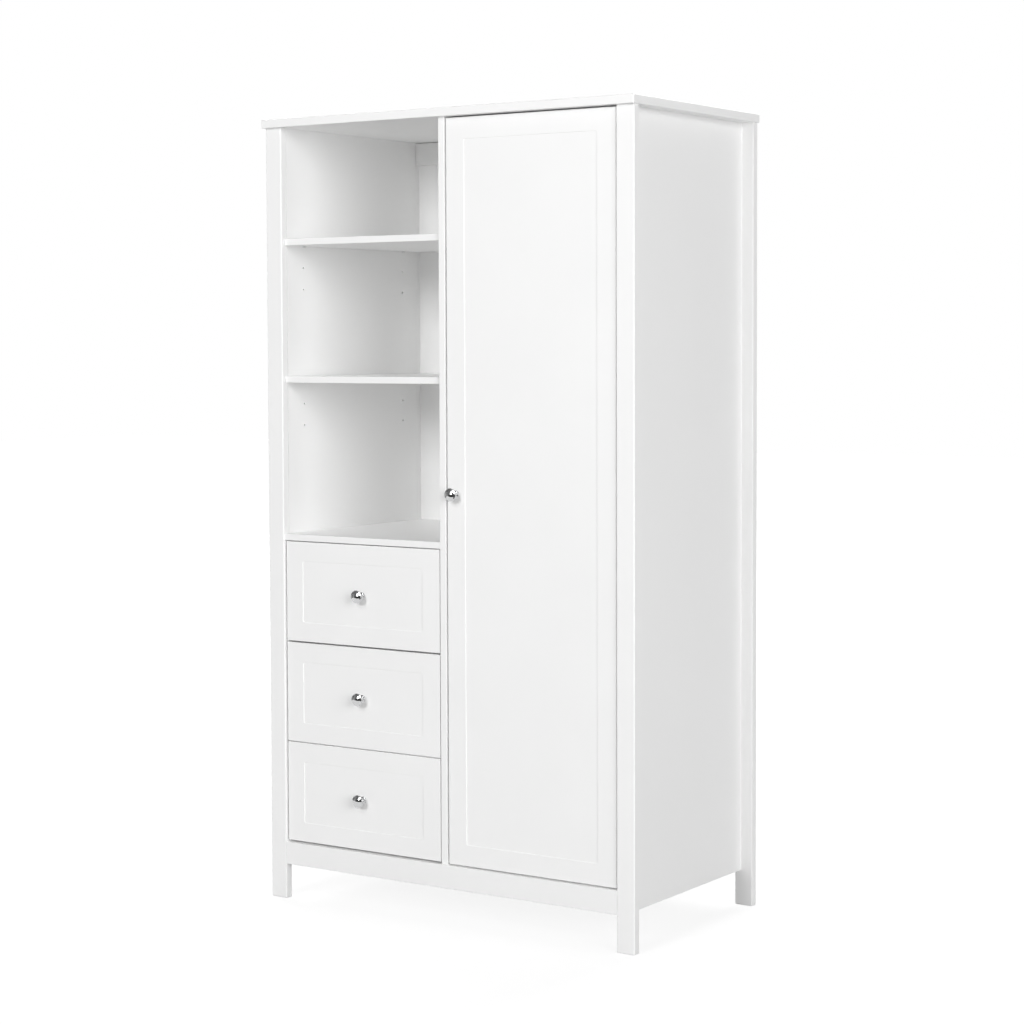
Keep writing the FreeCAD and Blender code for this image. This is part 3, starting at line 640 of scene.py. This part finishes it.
@dataclass
class ScrewSet(SubAssembly):
    """The pan-head screws of one node, with pointed shanks and cross recesses."""

    node: str
    body: str
    turn_steps: int = 32
    ease_steps: int = 4
    tip_share: float = 3.0
    side_share: float = 0.4
    crown_share: float = 0.55
    recess_share: float = 0.62
    slot_share: float = 0.17
    depth_share: float = 0.8
    taper_share: float = 0.55
    mouth_share: float = 1.5
    rim_share: float = 0.9
    tip_ease: float = 0.5
    seat_ease: float = 0.1
    side_ease: float = 0.25
    crown_ease: float = 0.5
    turn_between: float = 37.0
    weld: float = 1e-6
    tip_deep: float = 1e-5

    def loose_parts(self) -> list[list[Vector]]:
        """The corners of each separate screw in the node.

        Returns:
            One list of corners for each screw.
        """
        work = bmesh.new()
        work.from_mesh(frame["nodes"][self.node].data)
        bmesh.ops.remove_doubles(work, verts=work.verts, dist=self.weld)
        parts = []
        waiting = dict.fromkeys(work.verts)
        while waiting:
            group = [waiting.popitem()[0]]
            for corner in group:
                nearby = [edge.other_vert(corner) for edge in corner.link_edges]
                for other in nearby:
                    if other in waiting:
                        del waiting[other]
                        group.append(other)
            parts.append([corner.co.copy() for corner in group])
        work.free()
        return parts

    def measure(self, corners: list[Vector]) -> ScrewPlace:
        """Find a screw's seat, direction and sizes.

        Args:
            corners: the screw's corners.

        Returns:
            The screw's place.
        """
        low = [min(corner[axis] for corner in corners) for axis in range(3)]
        high = [max(corner[axis] for corner in corners) for axis in range(3)]
        along = max(range(3), key=lambda axis: high[axis] - low[axis])
        middle = Vector([(a + b) / 2.0 for a, b in zip(low, high)])

        def reach(corner: Vector) -> float:
            """Measure a corner's distance from the screw's axis.

            Args:
                corner: the corner.

            Returns:
                The distance.
            """
            offset = corner - middle
            offset[along] = 0.0
            return offset.length

        head_radius = max(reach(corner) for corner in corners)
        rim = [corner[along] for corner in corners if reach(corner) > self.rim_share * head_radius]
        heads_up = sum(rim) / len(rim) > middle[along]
        seat = middle.copy()
        seat[along] = min(rim) if heads_up else max(rim)
        out = Vector((0.0, 0.0, 0.0))
        out[along] = 1.0 if heads_up else -1.0
        far_end = low[along] if heads_up else high[along]
        tip = [corner for corner in corners if abs(corner[along] - far_end) < self.tip_deep]
        shank_radius = max(reach(corner) for corner in tip)
        return ScrewPlace(
            seat, out, head_radius, max(rim) - min(rim), shank_radius, abs(seat[along] - far_end)
        )

    def recess_cutter(self, screw: ScrewPlace) -> bpy.types.Mesh:
        """A tapered cross that is cut out of the head.

        Args:
            screw: the screw's sizes.

        Returns:
            The cross as a closed mesh, point down.
        """
        slim = screw.head_radius * self.slot_share
        work = bmesh.new()
        rings = []
        mouth = (1.0, screw.head_thick * self.mouth_share)
        point = (self.taper_share, screw.head_thick * (1.0 - self.depth_share))
        for share, height in (mouth, point):
            long = screw.head_radius * self.recess_share * share
            arm = [(long, -slim), (long, slim), (slim, slim)]
            turns = [Matrix.Rotation(math.radians(90.0 * quarter), 3, "Z") for quarter in range(4)]
            ring = [turn @ Vector((x, y, height)) for turn in turns for x, y in arm]
            rings.append([work.verts.new(spot) for spot in ring])
        top, bottom = rings
        work.faces.new(top)
        work.faces.new(list(reversed(bottom)))
        for step, corner in enumerate(top):
            after = (step + 1) % len(top)
            work.faces.new([corner, bottom[step], bottom[after], top[after]])
        bmesh.ops.recalc_face_normals(work, faces=work.faces)
        return mesh_from(work, "recess")

    def screw_mesh(self, screw: ScrewPlace) -> bpy.types.Mesh:
        """A screw that stands on the XY plane, head up, with its cross recess cut.

        Args:
            screw: the screw's sizes.

        Returns:
            The mesh.
        """
        radius, thick = screw.head_radius, screw.head_thick
        shank, long = screw.shank_radius, screw.shank_long
        corners = [
            (0.0, -long, 0.0),
            (shank, -long + self.tip_share * shank, shank * self.tip_ease),
            (shank, 0.0, 0.0),
            (radius, 0.0, thick * self.seat_ease),
            (radius, thick * self.side_share, thick * self.side_ease),
            (radius * self.crown_share, thick, thick * self.crown_ease),
            (0.0, thick, 0.0),
        ]
        outline = eased(corners, self.ease_steps)
        blank = linked("screw_blank", turned_mesh("screw_blank", outline, self.turn_steps))
        cutter = linked("screw_recess", self.recess_cutter(screw))
        cut = blank.modifiers.new("recess", "BOOLEAN")
        cut.object = cutter
        cut.solver = "EXACT"
        done = blank.evaluated_get(bpy.context.evaluated_depsgraph_get())
        mesh = bpy.data.meshes.new_from_object(done)
        for spare in (blank, cutter):
            bpy.data.meshes.remove(spare.data)
        return shaded(mesh)

    def build(self, palette: Palette) -> None:
        """Make the node's screws as one piece and dress it.

        Args:
            palette: the finishes.
        """
        places = [self.measure(corners) for corners in self.loose_parts()]
        pattern = self.screw_mesh(places[0])
        work = bmesh.new()
        for index, place in enumerate(places):
            upright = place.out.to_track_quat("Z", "Y").to_matrix().to_4x4()
            turn = Matrix.Rotation(math.radians(self.turn_between * index), 4, "Z")
            screw = pattern.copy()
            screw.transform(Matrix.Translation(place.seat) @ upright @ turn)
            work.from_mesh(screw)
            bpy.data.meshes.remove(screw)
        mesh = mesh_from(work, f"{self.node}_cut")
        bpy.data.meshes.remove(pattern)
        palette.hand_over(linked(mesh.name, shaded(mesh)), self.body, self.node)


@dataclass
class Carcase(SubAssembly):
    """The painted case: top, posts, sides, divider, floor, rails and backs, with their nails and dowels."""

    sides: tuple[str, str] = ("left", "right")
    single_boards: tuple[str, ...] = (
        "top_panel",
        "divider_panel",
        "bottom_panel",
        "front_bottom_rail",
        "rear_bottom_rail",
    )
    paired_boards: tuple[str, ...] = (
        "post_front",
        "post_rear",
        "side_panel",
        "rear_top_rail",
        "back_panel",
    )
    fasteners: tuple[str, ...] = ("back_panel_nails", "dowels")

    def build(self, palette: Palette) -> None:
        """Dress the boards and fasteners.

        Args:
            palette: the finishes.
        """
        palette.dress_nodes(*self.single_boards, *self.fasteners)
        for side in self.sides:
            palette.dress_nodes(*(f"{board}_{side}" for board in self.paired_boards))


@dataclass
class ShelfBay(SubAssembly):
    """The open bay: a fixed deck above the drawers and two loose shelves on steel pins."""

    boards: tuple[str, ...] = ("deck_shelf", "upper_shelf", "lower_shelf")
    pins: str = "shelf_pins"

    def build(self, palette: Palette) -> None:
        """Dress the shelves and pins."""
        palette.dress_nodes(*self.boards, self.pins)


@dataclass
class ClothesRail(SubAssembly):
    """The chrome rail in the tall bay, with its two screwed sockets."""

    body: str = "carcase"
    rail: str = "hanging_rail"
    sockets: str = "hanging_rail_sockets"
    screws: str = "socket_screws"

    def build(self, palette: Palette) -> None:
        """Dress the rail and sockets, and build their screws."""
        palette.dress_nodes(self.rail, self.sockets)
        ScrewSet(self.screws, self.body).build(palette)


@dataclass
class DoorHinges(SubAssembly):
    """The concealed hinges: plates and arms on the case, cups in the door."""

    case_body: str = "carcase"
    door_body: str = "door"
    steel: tuple[str, ...] = ("hinge_plates", "hinge_arms", "hinge_cups")
    plate_screws: str = "hinge_plate_screws"
    cup_screws: str = "hinge_cup_screws"

    def build(self, palette: Palette) -> None:
        """Dress the hinges and build the screws on both sides.

        Args:
            palette: the finishes.
        """
        palette.dress_nodes(*self.steel)
        ScrewSet(self.plate_screws, self.case_body).build(palette)
        ScrewSet(self.cup_screws, self.door_body).build(palette)


@dataclass
class Door(SubAssembly):
    """The tall door: a routed slab with one knob, held by a screw from behind."""

    body: str = "door"
    slab: str = "door_panel"
    knob: str = "door_knob"
    knob_screw: str = "door_knob_screw"

    def build(self, palette: Palette) -> None:
        """Dress the slab, and build its knob and screw.

        Args:
            palette: the finishes.
        """
        palette.dress_nodes(self.slab)
        Knob(self.knob, self.body).build(palette)
        ScrewSet(self.knob_screw, self.body).build(palette)


@dataclass
class Drawer(SubAssembly):
    """One drawer: routed front, box, slide rails, knob and knob screw."""

    body: str
    boards: tuple[str, ...] = ("front", "side_left", "side_right", "back", "bottom", "slide_rails")

    def build(self, palette: Palette) -> None:
        """Dress the boards and rails, and build the knob and its screw.

        Args:
            palette: the finishes.
        """
        palette.dress_nodes(*(f"{self.body}_{board}" for board in self.boards))
        Knob(f"{self.body}_knob", self.body).build(palette)
        ScrewSet(f"{self.body}_knob_screw", self.body).build(palette)


@dataclass
class DrawerSlides(SubAssembly):
    """The cabinet halves of the drawers' slides, with their screws."""

    body: str = "carcase"
    channels: str = "slide_channels"
    screws: str = "slide_screws"

    def build(self, palette: Palette) -> None:
        """Dress the channels and build their screws."""
        palette.dress_nodes(self.channels)
        ScrewSet(self.screws, self.body).build(palette)


def around(azimuth: float, elevation: float, far: float, centre: Vector) -> Vector:
    """A point seen from a centre.

    Args:
        azimuth: degrees to the right of the cabinet's front.
        elevation: degrees above the horizon.
        far: distance in metres.
        centre: the centre.

    Returns:
        The point.
    """
    turn, lift = math.radians(azimuth), math.radians(elevation)
    flat = math.cos(lift)
    return centre + far * Vector((math.sin(turn) * flat, -math.cos(turn) * flat, math.sin(lift)))


def facing(place: Vector, aim: Vector) -> Quaternion:
    """The rotation that points an object's -Z axis from its place to an aim."""
    return (aim - place).to_track_quat("-Z", "Y")


def stand_off(thing: bpy.types.Object, azimuth: float, elevation: float, far: float, aim: Vector) -> None:
    """Put an object at a distance from an aim, and point its -Z axis at it.

    Args:
        thing: the object.
        azimuth: degrees to the right of the cabinet's front.
        elevation: degrees above the horizon.
        far: distance in metres.
        aim: the point that it looks at.
    """
    thing.location = around(azimuth, elevation, far, aim)
    thing.rotation_mode = "QUATERNION"
    thing.rotation_quaternion = facing(thing.location, aim)


@dataclass(frozen=True)
class SoftBox:
    """A square soft light. At level 1 a surface that faces it shows its colour as written.

    unit_watts is the power that gives level 1 from one metre.
    """

    name: str
    azimuth: float
    elevation: float
    size: float
    level: float
    unit_watts: float = 4.0 * math.pi

    def hang(self, aim: Vector, far: float) -> None:
        """Hang the light at its distance and aim it at the cabinet.

        Args:
            aim: the point that it looks at.
            far: its distance in metres.
        """
        data = bpy.data.lights.new(self.name, "AREA")
        data.shape = "SQUARE"
        data.size = self.size
        data.energy = self.unit_watts * far**2 * self.level
        lamp = linked(self.name, data)
        stand_off(lamp, self.azimuth, self.elevation, far, aim)
        lamp.visible_camera = False


@dataclass(frozen=True)
class DarkCard:
    """A grey card that only reflections show, which gives the chrome its dark bands."""

    name: str
    azimuth: float
    elevation: float
    far: float
    wide: float
    high: float
    grey: float
    weave_scale: float = 40.0
    weave_detail: float = 2.0
    weave_tone: float = 0.8

    def material(self) -> bpy.types.Material:
        """Build a matt cloth with a faint weave.

        Returns:
            The material.
        """
        nodes = NodeTree(self.name)
        weave = nodes.noise(nodes.place(), self.weave_scale, self.weave_detail)
        tone = neutral(self.grey)
        cloth = nodes.tinted(weave, toned(tone, self.weave_tone), tone)
        matt = nodes.add("ShaderNodeBsdfDiffuse", Color=cloth)
        nodes.link(matt.outputs["BSDF"], nodes.output.inputs["Surface"])
        return nodes.material

    def stand(self, aim: Vector) -> None:
        """Stand the card up, facing the cabinet.

        Args:
            aim: the point that it faces.
        """
        card = flat_sheet(self.name, self.wide, self.high, self.material())
        stand_off(card, self.azimuth, self.elevation, self.far, aim)
        card.visible_camera = False
        card.visible_diffuse = False
        card.visible_transmission = False
        card.visible_shadow = False


@dataclass
class Studio:
    """Floor, soft lights, dark cards and the camera at the photograph's angle. Sizes in metres."""

    lens: float = 82.817
    sensor: float = 36.0
    camera_place: Triple = (3.01593, -4.45787, 1.28935)
    camera_aim: Triple = (0.00225, 0.01399, 1.00614)
    camera_roll: float = -0.1885
    frame_pixels: float = 1024.0
    optical_row: float = 466.0
    light_aim: Triple = (0.0, 0.0, 0.95)
    light_far: float = 9.0
    ambient: float = 0.13
    light_bounces: int = 10
    floor_size: float = 40.0
    floor_tone: float = 0.5
    grain_scale: float = 3.0
    grain_detail: float = 3.0
    grain_tone: float = 0.99
    floor_glow: float = 0.86
    shadow_tone: float = 0.2
    glow_near: float = 0.9
    glow_far: float = 3.2
    soft_boxes: tuple[SoftBox, ...] = (
        SoftBox("right_softbox", azimuth=61.0, elevation=11.0, size=4.6, level=0.46),
        SoftBox("front_softbox", azimuth=0.0, elevation=16.0, size=2.2, level=0.28),
        SoftBox("high_softbox", azimuth=1.5, elevation=34.0, size=0.9, level=0.088),
        SoftBox("rear_left_softbox", azimuth=-120.0, elevation=30.0, size=3.6, level=0.35),
        SoftBox("rear_softbox", azimuth=-178.0, elevation=35.0, size=3.6, level=0.3),
    )
    dark_cards: tuple[DarkCard, ...] = (
        DarkCard("far_left_card", azimuth=-84.0, elevation=20.0, far=2.6, wide=2.0, high=4.2, grey=0.22),
        DarkCard("left_card", azimuth=-38.0, elevation=20.0, far=2.6, wide=1.9, high=4.2, grey=0.36),
        DarkCard("low_card", azimuth=12.0, elevation=-14.0, far=1.95, wide=4.2, high=0.92, grey=0.1),
        DarkCard("gap_card", azimuth=33.0, elevation=2.0, far=2.2, wide=1.3, high=2.0, grey=0.1),
    )

    def set_camera(self) -> None:
        """Make the camera and stand it where the photograph was taken."""
        data = bpy.data.cameras.new("camera")
        data.lens = self.lens
        data.sensor_width = self.sensor
        data.shift_y = (self.optical_row - self.frame_pixels / 2.0) / self.frame_pixels
        camera = linked("camera", data)
        camera.location = Vector(self.camera_place)
        level = facing(camera.location, Vector(self.camera_aim))
        camera.rotation_mode = "QUATERNION"
        camera.rotation_quaternion = level @ Quaternion((0.0, 0.0, 1.0), math.radians(self.camera_roll))
        bpy.context.scene.camera = camera

    def floor_material(self) -> bpy.types.Material:
        """A matt floor, white to the camera and reflections, with a soft shadow near its middle.

        Returns:
            The material.
        """
        nodes = NodeTree("floor")
        grain = nodes.noise(nodes.place(), self.grain_scale, self.grain_detail)
        tone = neutral(self.floor_tone)
        pale = nodes.tinted(grain, toned(tone, self.grain_tone), tone)
        matt = nodes.add("ShaderNodeBsdfDiffuse", Color=pale)
        shade = nodes.add("ShaderNodeBsdfDiffuse", Color=(*neutral(self.shadow_tone), 1.0))
        coordinates = nodes.add("ShaderNodeTexCoord")
        distance = nodes.add("ShaderNodeVectorMath")
        distance.operation = "LENGTH"
        nodes.link(coordinates.outputs["Object"], distance.inputs[0])
        reach = {"From_Min": self.glow_near, "From_Max": self.glow_far, "To_Min": self.floor_glow}
        fade = nodes.add("ShaderNodeMapRange", Value=distance.outputs["Value"], **reach)
        fade.interpolation_type = "SMOOTHSTEP"
        glow = nodes.add("ShaderNodeEmission", Color=WHITE, Strength=fade.outputs["Result"])
        white = nodes.add("ShaderNodeAddShader")
        nodes.link(shade.outputs["BSDF"], white.inputs[0])
        nodes.link(glow.outputs["Emission"], white.inputs[1])
        nodes.split(matt.outputs["BSDF"], white.outputs["Shader"])
        return nodes.material

    def set_floor(self) -> None:
        """Lay the floor under the cabinet."""
        flat_sheet("floor", self.floor_size, self.floor_size, self.floor_material())

    def set_world(self) -> None:
        """White behind the cabinet for the camera and reflections, and a low even level for the light."""
        world = bpy.data.worlds.new("studio")
        world.use_nodes = True
        nodes = NodeTree.around_world(world)
        soft = nodes.add("ShaderNodeBackground", Color=WHITE, Strength=self.ambient)
        white = nodes.add("ShaderNodeBackground", Color=WHITE, Strength=1.0)
        nodes.split(soft.outputs["Background"], white.outputs["Background"])
        bpy.context.scene.world = world

    def build(self) -> None:
        """Set the whole studio up."""
        self.set_floor()
        self.set_world()
        aim = Vector(self.light_aim)
        for card in self.dark_cards:
            card.stand(aim)
        for light in self.soft_boxes:
            light.hang(aim, self.light_far)
        self.set_camera()
        scene = bpy.context.scene
        scene.view_settings.view_transform = "Standard"
        scene.cycles.diffuse_bounces = self.light_bounces
        LOG.info("set the studio")


def main() -> None:
    """Build and dress every sub-assembly, then the studio."""
    palette = Palette()
    fixed: list[SubAssembly] = [Carcase(), ShelfBay(), ClothesRail(), DrawerSlides(), DoorHinges()]
    fronts: list[SubAssembly] = [Door(), *(Drawer(body) for body in DRAWER_BODIES)]
    for assembly in fixed + fronts:
        assembly.build(palette)
    Studio().build()


if __name__ == "__main__":
    main()
